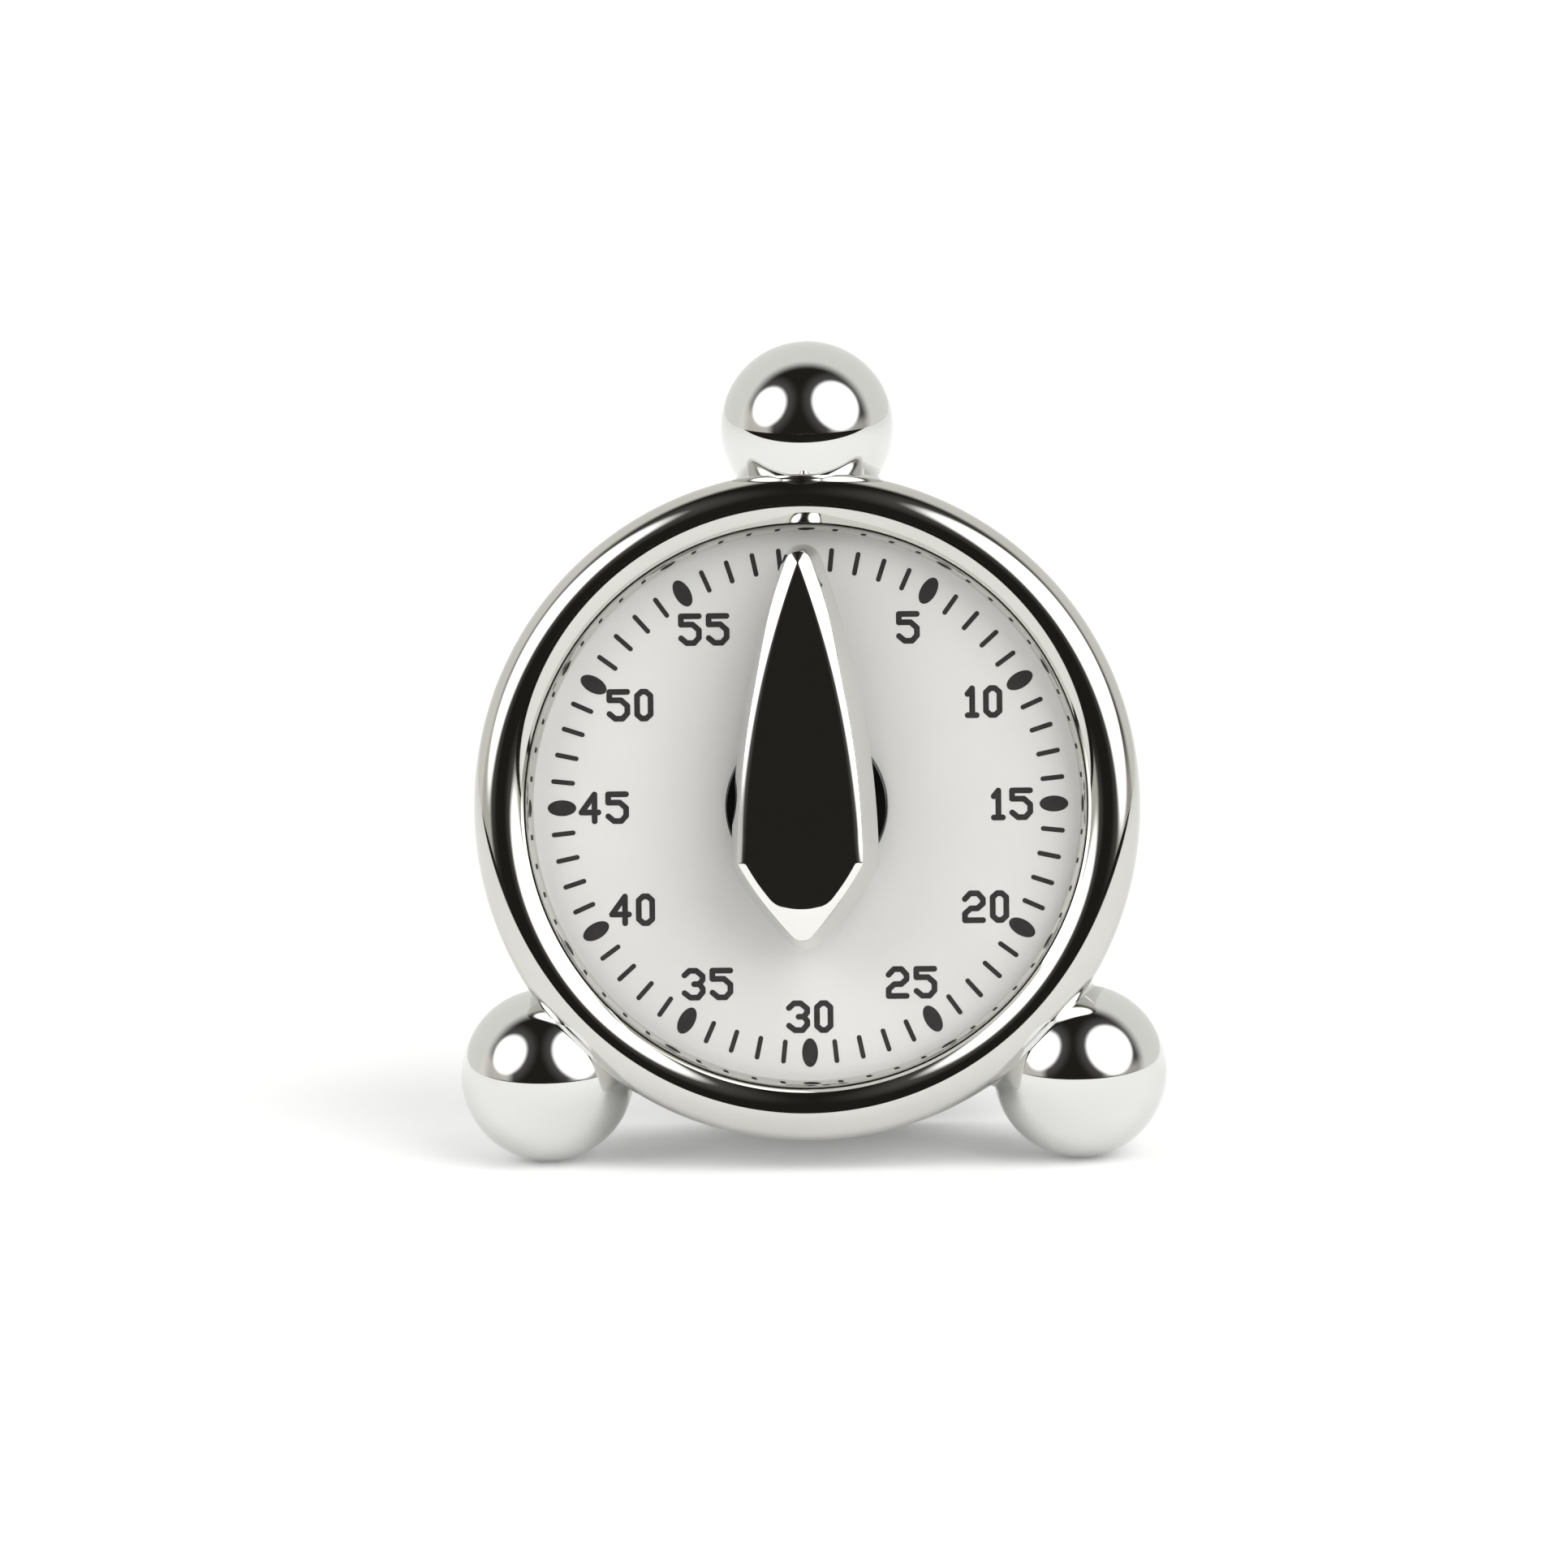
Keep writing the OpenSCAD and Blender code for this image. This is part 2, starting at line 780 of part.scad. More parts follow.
stood() bezel_ring();
stood() case_shell();
stood() dial_plate();
stood() ball(90);  // top_ball
stood() ball(225);  // left_foot
stood() ball(315);  // right_foot
stood() ball_screws();
stood() rear_cover();
stood() cover_screws();
stood() front_plate();
stood() rear_plate();
stood() pillars();
stood() pillar_screws();
stood() movement_screws();
stood() spring_barrel();
stood() mainspring();
stood() stop_pin();
stood() main_arbor();
stood() pointer_knob();
stood() hub_disc();
stood() great_wheel();
stood() winding_click();
stood() strike_cam();
stood() second_pinion();
stood() second_wheel();
stood() third_pinion();
stood() third_wheel();
stood() escape_pinion();
stood() escape_wheel();
stood() verge_arbor();
stood() verge();
stood() hammer_arbor();
stood() hammer_arm();
stood() hammer_head();
stood() hammer_spring();
stood() bell();
stood() bell_post();
stood() bell_screw();
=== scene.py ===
"""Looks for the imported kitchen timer: lathe-turned chrome case, bevelled pointer knob, printed dial."""

import json
import math

import bmesh
import bpy
from mathutils import Matrix, Vector


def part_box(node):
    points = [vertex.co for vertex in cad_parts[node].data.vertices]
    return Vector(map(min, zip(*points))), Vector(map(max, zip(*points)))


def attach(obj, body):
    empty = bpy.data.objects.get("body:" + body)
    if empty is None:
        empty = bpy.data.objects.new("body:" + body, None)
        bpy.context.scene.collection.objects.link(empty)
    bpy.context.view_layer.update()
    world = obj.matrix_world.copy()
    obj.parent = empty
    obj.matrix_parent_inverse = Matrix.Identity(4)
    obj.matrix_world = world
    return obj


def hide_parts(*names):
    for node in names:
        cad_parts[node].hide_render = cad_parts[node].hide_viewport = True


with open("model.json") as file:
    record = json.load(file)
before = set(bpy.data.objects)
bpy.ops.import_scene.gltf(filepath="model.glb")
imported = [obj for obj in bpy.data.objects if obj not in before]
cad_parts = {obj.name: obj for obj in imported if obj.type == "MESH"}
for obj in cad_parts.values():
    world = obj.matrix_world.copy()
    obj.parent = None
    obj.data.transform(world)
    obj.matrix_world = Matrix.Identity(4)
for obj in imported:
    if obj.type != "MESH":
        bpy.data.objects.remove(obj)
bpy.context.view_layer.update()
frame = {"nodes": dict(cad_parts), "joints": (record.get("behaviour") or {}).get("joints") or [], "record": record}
nodes = frame["nodes"]
MM = 0.001

# The case frame: X right, Y up the dial, Z out of the dial, zero at the centre of the dial's face
turn_axis = next(j for j in frame["joints"] if j["name"] == "knob_turn")["axis"]
OUT = -Vector(turn_axis).normalized()
ACROSS = Vector((1, 0, 0))
UP = OUT.cross(ACROSS).normalized()
DIAL_THICK = 0.6
dial_low, dial_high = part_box("dial_plate")
dial_centre = (dial_low + dial_high) / 2 + OUT * (DIAL_THICK / 2 * MM)
CASE = Matrix.Translation(dial_centre) @ Matrix((ACROSS, UP, OUT)).transposed().to_4x4()

# Every size below is in millimetres unless it says otherwise

# Front ring: a round section kept from the seam, over the front, to the dial (degrees of its circle)
RING_R = 3.5
RING_MID_R = 35.5
RING_MID_Z = 1.5
RING_SPAN = (-45.58, 205.38)
RING_WALL = 1.2
SEAM_Z = -1.0
DIAL_R = 34.0
DIAL_SEAT_Z = -0.55

# Drum
DRUM_R = RING_MID_R + math.sqrt(RING_R**2 - (RING_MID_Z - SEAM_Z) ** 2)
DRUM_IN_R = DRUM_R - 1.5
EDGE_ROUND = 1.0

# Balls: how far out and back their centres are, and the neck that joins each to the drum
BALL_R = 10.15
BALL_REACH = 44.2
BALL_SETBACK = 4.5
BALL_END_R = 8.39
NECK_TOP = 38.7
NECK_FOOT = 36.7
NECK_INSET = 0.15
NECK_FLARE = 0.62
NECK_FILLET = 1.15
NECK_FILLET_Z = 38.75

# Knob
KNOB_TIP = 30.5
KNOB_HALF = 8.6
KNOB_TOP = 11.0
KNOB_BASE = 4.0
HOLLOW_TOP = KNOB_TOP - 2.9
DRAFT = 1.3

# Photograph's view: a long lens a little above the dial's axis and a little to its right
AZIMUTH, ELEVATION, ROLL = 5.0, 9.3, -1.37
DISTANCE = 1.5
LENS = 295.9
AIM = Vector((-0.0024, -0.014, 0.0449))


def build_camera():
    a, e = math.radians(AZIMUTH), math.radians(ELEVATION)
    back = Vector((math.sin(a) * math.cos(e), -math.cos(a) * math.cos(e), math.sin(e)))
    data = bpy.data.cameras.new("camera")
    data.sensor_width = 36
    data.lens = LENS
    data.clip_start, data.clip_end = 0.01, 50
    cam = bpy.data.objects.new("camera", data)
    bpy.context.scene.collection.objects.link(cam)
    cam.rotation_mode = "QUATERNION"
    look = (-back).to_track_quat("-Z", "Y").to_matrix() @ Matrix.Rotation(math.radians(ROLL), 3, "Z")
    cam.rotation_quaternion = look.to_quaternion()
    cam.location = AIM + back * DISTANCE
    bpy.context.scene.camera = cam


build_camera()


# ---------------------------------------------------------------- materials


def new_tree(name):
    m = bpy.data.materials.new(name)
    m.use_nodes = True
    tree = m.node_tree
    shader = next(n for n in tree.nodes if n.type == "BSDF_PRINCIPLED")
    return m, tree, shader


EVEN = (1, 1, 1)


def noise(tree, scale, detail=2.0, stretch=EVEN):
    """Noise in object space; stretch squeezes it along an axis."""
    place = tree.nodes.new("ShaderNodeTexCoord")
    mapping = tree.nodes.new("ShaderNodeMapping")
    mapping.inputs["Scale"].default_value = stretch
    tex = tree.nodes.new("ShaderNodeTexNoise")
    tex.inputs["Scale"].default_value = scale
    tex.inputs["Detail"].default_value = detail
    tree.links.new(place.outputs["Object"], mapping.inputs["Vector"])
    tree.links.new(mapping.outputs["Vector"], tex.inputs["Vector"])
    return tex.outputs["Fac"]


# Noise mostly lies between these shares, so they are stretched over the whole of a range
NOISE_LOW, NOISE_HIGH = 0.3, 0.7


def spread(tree, value, low, high):
    ranged = tree.nodes.new("ShaderNodeMapRange")
    ranged.inputs["From Min"].default_value = NOISE_LOW
    ranged.inputs["From Max"].default_value = NOISE_HIGH
    ranged.inputs["To Min"].default_value = low
    ranged.inputs["To Max"].default_value = high
    tree.links.new(value, ranged.inputs["Value"])
    return ranged.outputs["Result"]


def tint(tree, value, low, high):
    ramp = tree.nodes.new("ShaderNodeValToRGB")
    ramp.color_ramp.elements[0].position = NOISE_LOW
    ramp.color_ramp.elements[1].position = NOISE_HIGH
    ramp.color_ramp.elements[0].color = (*low, 1)
    ramp.color_ramp.elements[1].color = (*high, 1)
    tree.links.new(value, ramp.inputs["Fac"])
    return ramp.outputs["Color"]


def bump(tree, shader, value, height):
    node = tree.nodes.new("ShaderNodeBump")
    node.inputs["Strength"].default_value = 1.0
    node.inputs["Distance"].default_value = height
    tree.links.new(value, node.inputs["Height"])
    tree.links.new(node.outputs["Normal"], shader.inputs["Normal"])


def surface(name, low, high, rough, metallic, cloud, grain, grain_height, stretch=EVEN, coat=0.0):
    """A procedural finish: clouded colour, uneven roughness and a fine raised grain."""
    m, tree, shader = new_tree(name)
    shader.inputs["Metallic"].default_value = metallic
    shader.inputs["Coat Weight"].default_value = coat
    cloudy = noise(tree, cloud, 3.0, stretch)
    tree.links.new(tint(tree, cloudy, low, high), shader.inputs["Base Color"])
    uneven = noise(tree, cloud * 2.3, 4.0, stretch)
    tree.links.new(spread(tree, uneven, rough[0], rough[1]), shader.inputs["Roughness"])
    bump(tree, shader, noise(tree, grain, 2.0, stretch), grain_height)
    return m


# Darkest and lightest colour, span of roughness, metallic, scales of the clouds and the grain, the
# grain's height in metres, and where it matters how the noise is stretched and the clear coat
FINISHES = {
    "case_chrome": ((0.67, 0.67, 0.655), (0.70, 0.70, 0.685), (0.012, 0.035), 1.0, 60, 900, 1.5e-8),
    # The front ring's finish is the case's own plating made darker: painted shade standing in for the shadowed
    # floor the ring reflects
    "ring_chrome_painted_shade": ((0.575, 0.57, 0.54), (0.61, 0.605, 0.575), (0.02, 0.06), 1.0, 60, 900, 1.5e-8),
    "knob_chrome": ((0.765, 0.76, 0.735), (0.79, 0.785, 0.76), (0.02, 0.05), 1.0, 90, 700, 2.5e-8),
    "hub_black": ((0.003, 0.003, 0.003), (0.005, 0.005, 0.004), (0.08, 0.14), 0.0, 200, 2500, 1e-6),
    "dial_enamel": (
        *((0.65, 0.645, 0.628), (0.675, 0.67, 0.653), (0.30, 0.40)),
        *(0.0, 70, 1800, 8e-7, EVEN, 0.25),
    ),
    "dial_ink": ((0.012, 0.010, 0.009), (0.022, 0.018, 0.016), (0.45, 0.6), 0.0, 500, 4000, 1e-6),
    "cover_plastic": (
        *((0.022, 0.022, 0.023), (0.034, 0.034, 0.034), (0.42, 0.55)),
        *(0.0, 300, 2600, 2.5e-5),
    ),
    "screw_steel": ((0.52, 0.52, 0.52), (0.62, 0.62, 0.61), (0.22, 0.36), 1.0, 700, 5000, 1e-6),
    "plate_brass": ((0.70, 0.53, 0.26), (0.80, 0.63, 0.33), (0.25, 0.38), 1.0, 220, 1600, 2e-6, (1, 1, 6)),
    "wheel_brass": ((0.78, 0.60, 0.30), (0.86, 0.68, 0.36), (0.14, 0.24), 1.0, 260, 2400, 1e-6),
    "arbor_steel": ((0.55, 0.55, 0.56), (0.64, 0.64, 0.65), (0.16, 0.28), 1.0, 600, 5000, 1e-6, (1, 0.2, 1)),
    "spring_steel": ((0.10, 0.13, 0.24), (0.24, 0.27, 0.36), (0.18, 0.32), 1.0, 240, 3000, 1e-6),
    "lever_steel": ((0.48, 0.49, 0.50), (0.58, 0.59, 0.60), (0.28, 0.42), 1.0, 400, 2600, 2e-6, (5, 1, 1)),
    "bell_steel": ((0.60, 0.59, 0.57), (0.70, 0.69, 0.67), (0.20, 0.30), 1.0, 150, 2200, 1.5e-6),
}
finishes = {name: surface(name, *look) for name, look in FINISHES.items()}


def dress_cad():
    slot_of = {s["node"]: s["material_slot"] for s in frame["record"]["subparts"]}
    for name, obj in nodes.items():
        obj.data.materials.clear()
        obj.data.materials.append(finishes[slot_of[name]])


# ---------------------------------------------------------------- mesh helpers


def arc(cx, cy, r, start, stop, steps):
    """Points along an arc, angles in degrees."""
    turn = [math.radians(start + (stop - start) * i / steps) for i in range(steps + 1)]
    return [(cx + r * math.cos(t), cy + r * math.sin(t)) for t in turn]


def straight(p, q, steps):
    """Evenly spaced points from p to q."""
    (px, py), (qx, qy) = p, q
    return [(px + (qx - px) * i / steps, py + (qy - py) * i / steps) for i in range(steps + 1)]


def add_object(name, mesh):
    obj = bpy.data.objects.new(name, mesh)
    bpy.context.scene.collection.objects.link(obj)
    return obj


def finish_mesh(bm, name, place, material, smooth_angle=32):
    """Welds a mesh drawn in millimetres, puts it in the case frame and shades it smooth between edges."""
    bmesh.ops.remove_doubles(bm, verts=bm.verts, dist=1e-4)
    bmesh.ops.recalc_face_normals(bm, faces=bm.faces)
    mesh = bpy.data.meshes.new(name)
    bm.to_mesh(mesh)
    bm.free()
    mesh.transform(CASE @ Matrix.Scale(MM, 4) @ place)
    for p in mesh.polygons:
        p.use_smooth = True
    mesh.set_sharp_from_angle(angle=math.radians(smooth_angle))
    mesh.materials.append(finishes[material])
    return add_object(name, mesh)


def lathe(bm, profile, segments, closed):
    """Turns a profile of (radius, height) about Z. A closed one is a ring; an open one ends on the axis."""
    rings = []
    for r, z in profile:
        if r < 1e-6:
            rings.append([bm.verts.new((0, 0, z))])
        else:
            turn = [2 * math.pi * k / segments for k in range(segments)]
            rings.append([bm.verts.new((r * math.cos(t), r * math.sin(t), z)) for t in turn])
    following = rings[1:] + rings[:1] if closed else rings[1:]
    for a, b in zip(rings, following):
        for k in range(segments):
            n = (k + 1) % segments
            corners = [a[k % len(a)], a[n % len(a)], b[n % len(b)], b[k % len(b)]]
            unique = [v for i, v in enumerate(corners) if v not in corners[:i]]
            if len(unique) > 2:
                bm.faces.new(unique)


# ---------------------------------------------------------------- case


def build_bezel():
    seat_r, lip_r, seam_r = DIAL_R + 0.1, DIAL_R + 1.1, DIAL_R + 3
    profile = [
        *arc(RING_MID_R, RING_MID_Z, RING_R, *RING_SPAN, 96),
        (seat_r, 0),
        (seat_r, DIAL_SEAT_Z),
        (lip_r, DIAL_SEAT_Z),
        (lip_r, RING_MID_Z),
        *arc(RING_MID_R, RING_MID_Z, RING_R - RING_WALL, 180, 0, 24),
        (seam_r, RING_MID_Z),
        (seam_r, SEAM_Z),
    ]
    bm = bmesh.new()
    lathe(bm, profile, 360, True)
    # The ring takes the darker copy of the case chrome, which is painted shade
    obj = finish_mesh(bm, "front_ring", Matrix(), "ring_chrome_painted_shade")
    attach(obj, "case")
    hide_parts("bezel_ring")


def build_drum():
    shell = nodes["case_shell"].data.vertices
    back_z = min((v.co - dial_centre).dot(OUT) for v in shell) / MM
    profile = [
        (DRUM_IN_R, SEAM_Z),
        *straight((DRUM_R - 0.12, SEAM_Z), (DRUM_R, SEAM_Z - 0.12), 3),
        *straight((DRUM_R, SEAM_Z - 1), (DRUM_R, back_z + EDGE_ROUND + 1), 12),
        *arc(DRUM_R - EDGE_ROUND, back_z + EDGE_ROUND, EDGE_ROUND, 0, -90, 10),
        *straight((DRUM_IN_R + 0.08, back_z), (DRUM_IN_R, back_z + 0.08), 2),
    ]
    bm = bmesh.new()
    lathe(bm, profile, 360, True)
    obj = finish_mesh(bm, "drum", Matrix(), "case_chrome")
    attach(obj, "case")
    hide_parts("case_shell")


def build_ball(name, angle):
    """A ball drawn about its own axis, with a fillet that flares into the case."""
    neck_r = math.sqrt(BALL_R**2 - (BALL_REACH - NECK_TOP) ** 2) - NECK_INSET
    sphere_end = -math.degrees(math.acos(BALL_END_R / BALL_R))
    profile = [
        *arc(0, BALL_REACH, BALL_R, 90, sphere_end, 120),
        *arc(neck_r + NECK_FILLET, NECK_FILLET_Z, NECK_FILLET, 194, 236, 12),
        (neck_r + NECK_FLARE, NECK_FOOT),
        (0, NECK_FOOT),
    ]
    profile[0] = (0, BALL_REACH + BALL_R)
    bm = bmesh.new()
    lathe(bm, profile, 192, False)
    spin = Matrix.Rotation(math.radians(angle), 4, "Z")
    set_back = Matrix.Translation((0, 0, -BALL_SETBACK))
    place = spin @ set_back @ Matrix.Rotation(math.radians(90), 4, "Y")
    obj = finish_mesh(bm, name + "_ball", place, "case_chrome", 50)
    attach(obj, "case")
    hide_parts(name)


# ---------------------------------------------------------------- pointer knob

# A bow is a pair of mirrored arcs: their radius, half the width where they are widest, and that height
UPPER_BOW = (104.0, KNOB_HALF, KNOB_TIP - 37.5)
LOWER_BOW = (38.9, KNOB_HALF + 4.7, KNOB_TIP - 19.0)
TIP_R = 2.34
TAIL_R = 2.8

# The lengthwise crown is an arc about a high point; the facet is a shallow cone around a point below it
CROWN_Y = KNOB_TIP - 22
CROWN_R = 300
FACET_Y = KNOB_TIP - 35.8
FACET_R = 6.94
FACET_SLOPE = 0.304
BEVEL_SLOPE = 0.53
BEVEL_WIDTH = 0.4

# Heights up the knob between which its edges change towards the tip and away from the tail
NEAR_TIP = (13, 25)
NEAR_TAIL = (-10, -3)

# How far in from the outline each ring of vertices is, and the hollow underneath as (inset, height)
OUTLINE_STEPS = 320
WALL_INSETS = [0.1 * i for i in range(6)]
BEVEL_INSETS = [0.6 + 0.04 * i for i in range(50)]
CROWN_INSETS = [2.7 + 0.22 * i for i in range(26)]
HOLLOW = [(1.3, KNOB_BASE), (1.9, HOLLOW_TOP - 0.5), *((inset, HOLLOW_TOP) for inset in (2.4, 4.5, 7.4))]


def smooth_min(a, b, soft):
    """The lesser of two heights, rounded over where they cross."""
    h = max(soft - abs(a - b), 0) / soft
    return min(a, b) - h * h * soft / 4


def ease(value, start, stop):
    """0 before start, 1 after stop, and a smooth step between."""
    t = min(max((value - start) / (stop - start), 0), 1)
    return t * t * (3 - 2 * t)


def bow_width(bow, y, inset):
    """Half width at y of the space between a bowed side and its mirror image."""
    r, half, y0 = bow
    under = (r - inset) ** 2 - (y - y0) ** 2
    return math.sqrt(under) - (r - half) if under > 0 else -1


def bow_reach(bow, inset):
    """How far above or below its centre a pair of bowed sides meets."""
    r, half, _ = bow
    return math.sqrt(max((r - inset) ** 2 - (r - half) ** 2, 0))


def end_circle(bow, end_r, way):
    """Where the rounding that touches both bowed sides is centred, and how steeply it touches them."""
    r, half, y0 = bow
    along = math.sqrt((r - end_r) ** 2 - (r - half) ** 2)
    return y0 + way * along, along / (r - end_r)


def outline(inset):
    """The knob's outline drawn in by inset, as (x, y), from the tip down the right and up the left."""
    tip = end_circle(UPPER_BOW, TIP_R, 1)
    tail = end_circle(LOWER_BOW, TAIL_R, -1)
    tip_r, tail_r = TIP_R - inset, TAIL_R - inset
    top = tip[0] + tip_r if tip_r > 0 else UPPER_BOW[2] + bow_reach(UPPER_BOW, inset)
    low = tail[0] - tail_r if tail_r > 0 else LOWER_BOW[2] - bow_reach(LOWER_BOW, inset)
    points = []
    for i in range(OUTLINE_STEPS + 1):
        y = (top + low) / 2 + (top - low) / 2 * math.cos(math.pi * i / OUTLINE_STEPS)
        x = min(bow_width(UPPER_BOW, y, inset), bow_width(LOWER_BOW, y, inset))
        if tip_r > 0 and y > tip[0] + tip_r * tip[1]:
            x = math.sqrt(max(tip_r**2 - (y - tip[0]) ** 2, 0))
        if tail_r > 0 and y < tail[0] - tail_r * tail[1]:
            x = math.sqrt(max(tail_r**2 - (y - tail[0]) ** 2, 0))
        points.append((max(x, 0), y))
    return points + [(-x, y) for x, y in reversed(points[1:-1])]


def crown_height(y):
    return KNOB_TOP - (y - CROWN_Y) ** 2 / (2 * CROWN_R)


def top_height(x, y):
    """The crown along the knob, cut by the sloping facet at its lower end."""
    away = math.hypot(x, min(y - FACET_Y, 0))
    return smooth_min(crown_height(y), crown_height(y) - FACET_SLOPE * (away - FACET_R), 0.1)


def side_height(inset, y):
    """Height of the drafted side and the bevel above it, with a soft edge between."""
    at_tip = ease(y, *NEAR_TIP)
    draft = DRAFT - 0.5 * at_tip
    wide = BEVEL_WIDTH + 0.35 * ease(y, *NEAR_TAIL) + 0.6 * at_tip
    side_top = crown_height(y) - BEVEL_SLOPE * wide
    wall = KNOB_BASE + inset / draft * (side_top - KNOB_BASE)
    return smooth_min(wall, side_top + (inset - draft) * BEVEL_SLOPE, 0.35)


def knob_height(x, y, inset):
    soft = 0.36 - 0.18 * ease(y, *NEAR_TIP)
    return smooth_min(side_height(inset, y), top_height(x, y), soft)


def close_loop(bm, ring):
    """Fills a mirrored loop with strips across it."""
    for k in range(1, len(ring) // 2):
        other, after = len(ring) - k, len(ring) - k - 1
        square = (ring[k], ring[k + 1], ring[after], ring[other])
        bm.faces.new(square if after > k + 1 else (ring[k], ring[k + 1], ring[other]))
    bm.faces.new((ring[0], ring[1], ring[-1]))


def build_knob():
    bm = bmesh.new()
    rings = []
    for inset in WALL_INSETS + BEVEL_INSETS + CROWN_INSETS:
        rings.append([bm.verts.new((x, y, knob_height(x, y, inset))) for x, y in outline(inset)])
    for inset, z in HOLLOW:
        rings.insert(0, [bm.verts.new((x, y, z)) for x, y in outline(inset)])
    for a, b in zip(rings, rings[1:]):
        for k in range(len(a)):
            n = (k + 1) % len(a)
            bm.faces.new((a[k], a[n], b[n], b[k]))
    close_loop(bm, rings[0])
    close_loop(bm, rings[-1])
    bmesh.ops.dissolve_degenerate(bm, dist=1e-4, edges=bm.edges)
    obj = finish_mesh(bm, "pointer", Matrix(), "knob_chrome", 40)
    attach(obj, "knob_and_great_wheel")
    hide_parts("pointer_knob")


HUB_R = 9.5
HUB_LOW = 0.4
HUB_HIGH = 1.9
HUB_BORE = 2.05
BOSS_R = 5.2


def build_hub():
    low_round, high_round, boss_fillet = 0.2, 0.3, 0.15
    profile = [
        (HUB_BORE, HUB_LOW),
        *arc(HUB_R - low_round, HUB_LOW + low_round, low_round, -90, 0, 4),
        *arc(HUB_R - high_round, HUB_HIGH - high_round, high_round, 0, 90, 6),
        *arc(BOSS_R + boss_fillet, HUB_HIGH + boss_fillet, boss_fillet, 270, 180, 4),
        (BOSS_R, KNOB_BASE),
        (HUB_BORE, KNOB_BASE),
    ]
    bm = bmesh.new()
    lathe(bm, profile, 256, True)
    obj = finish_mesh(bm, "hub", Matrix(), "hub_black")
    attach(obj, "knob_and_great_wheel")
    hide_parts("hub_disc")


# ---------------------------------------------------------------- dial print

# Marks sit on one circle and numbers on a smaller one; the number 30 stands a little further out
MARK_R = 28.8
MARK_REACH = 1.125
MARK_HALF = 0.28
OVAL = (1.68, 0.93)
OVAL_STEPS = 40
NUMERAL_R = 23.9
LOWEST_SHIFT = 0.7
FIGURE_H = 3.13
STROKE = 0.34
FIGURE_GAP = 0.47

# Ink's underside and top above the dial, and the step between strokes that cross, so no faces coincide
INK_LOW = 0.004
INK = 0.02
INK_STEP = 0.0006

# Each figure's width and its strokes, in shares of its width and height
FIGURES = {
    "0": (
        1.58,
        [[(0.33, 0), (0.67, 0), (1, 0.15), (1, 0.85), (0.67, 1), (0.33, 1), (0, 0.85), (0, 0.15), (0.33, 0)]],
    ),
    "1": (1.0, [[(0, 0.79), (0.54, 1), (0.54, 0)], [(0, 0), (1.05, 0)]]),
    "2": (
        2.1,
        [
            [(0, 0.79), (0.3, 1), (0.72, 1), (1, 0.79), (1, 0.62)]
            + [(0.7, 0.44), (0.32, 0.44), (0, 0.25), (0, 0), (1, 0)],
        ],
    ),
    "3": (
        2.13,
        [
            [(0, 0.83), (0.28, 1), (0.65, 1), (1, 0.8), (1, 0.66), (0.82, 0.5)]
            + [(1, 0.34), (1, 0.2), (0.75, 0), (0.32, 0), (0, 0.17)],
            [(0.82, 0.5), (0.53, 0.5)],
        ],
    ),
    "4": (2.0, [[(0.77, 0), (0.77, 1), (0, 0.33), (1, 0.33)]]),
    "5": (
        2.1,
        [[(1, 1), (0, 1), (0, 0.69), (0.65, 0.69), (1, 0.48), (1, 0.2), (0.73, 0), (0.32, 0), (0, 0.18)]],
    ),
}


def slab(bm, points, height):
    """A flat printed patch: an outline raised a hair above the dial."""
    low = [bm.verts.new((x, y, INK_LOW)) for x, y in points]
    high = [bm.verts.new((x, y, height)) for x, y in points]
    bm.faces.new(high)
    bm.faces.new(list(reversed(low)))
    for k in range(len(points)):
        n = (k + 1) % len(points)
        bm.faces.new((low[k], low[n], high[n], high[k]))


def stroke(bm, p, q, half, height):
    """A printed line with round ends."""
    lean = math.degrees(math.atan2(q[1] - p[1], q[0] - p[0]))
    start, end = arc(*p, half, lean + 90, lean + 270, 12), arc(*q, half, lean - 90, lean + 90, 12)
    slab(bm, start + end, height)


def figure(bm, text, cx, cy):
    """A number centred on a point, its pen moving right from one figure to the next."""
    widths = [FIGURES[c][0] for c in text]
    pen = cx - (sum(widths) + (len(text) - 1) * (FIGURE_GAP + 2 * STROKE)) / 2
    for c, width in zip(text, widths):
        for strokes in FIGURES[c][1]:
            path = [(pen + u * width, cy + (v - 0.5) * FIGURE_H) for u, v in strokes]
            for k, (p, q) in enumerate(zip(path, path[1:])):
                stroke(bm, p, q, STROKE, INK + k % 3 * INK_STEP)
        pen += width + FIGURE_GAP + 2 * STROKE


def oval():
    turn = [2 * math.pi * k / OVAL_STEPS for k in range(OVAL_STEPS)]
    return [(OVAL[0] * math.cos(t), OVAL[1] * math.sin(t)) for t in turn]


def build_print():
    bm = bmesh.new()
    for minute in range(60):
        turn = math.radians(90 - 6 * minute)
        c, s = math.cos(turn), math.sin(turn)
        if minute % 5:
            ends = [((MARK_R + d) * c, (MARK_R + d) * s) for d in (-MARK_REACH, MARK_REACH)]
            stroke(bm, *ends, MARK_HALF, INK)
        else:
            slab(bm, [(MARK_R * c + u * c - v * s, MARK_R * s + u * s + v * c) for u, v in oval()], INK)
            if minute:
                reach = NUMERAL_R + (LOWEST_SHIFT if minute == 30 else 0)
                figure(bm, str(minute), reach * c, reach * s)
    mesh = bpy.data.meshes.new("dial_print")
    bmesh.ops.recalc_face_normals(bm, faces=bm.faces)
    bm.to_mesh(mesh)
    bm.free()
    mesh.transform(CASE @ Matrix.Scale(MM, 4))
    mesh.materials.append(finishes["dial_ink"])
    obj = add_object("dial_print", mesh)
    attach(obj, "case")


# ---------------------------------------------------------------- studio


# Studio sizes are in metres and its angles in degrees. Azimuth is from the front, positive to the right
FLOOR_RINGS = (0, 0.2, 1, 12)
FLOOR_GLOW = 0.12

PALE = (0.89, 0.89, 0.86)
DARK = (0.02, 0.018, 0.015)
LIT_WALL = (1.0, 0.97, 0.9)

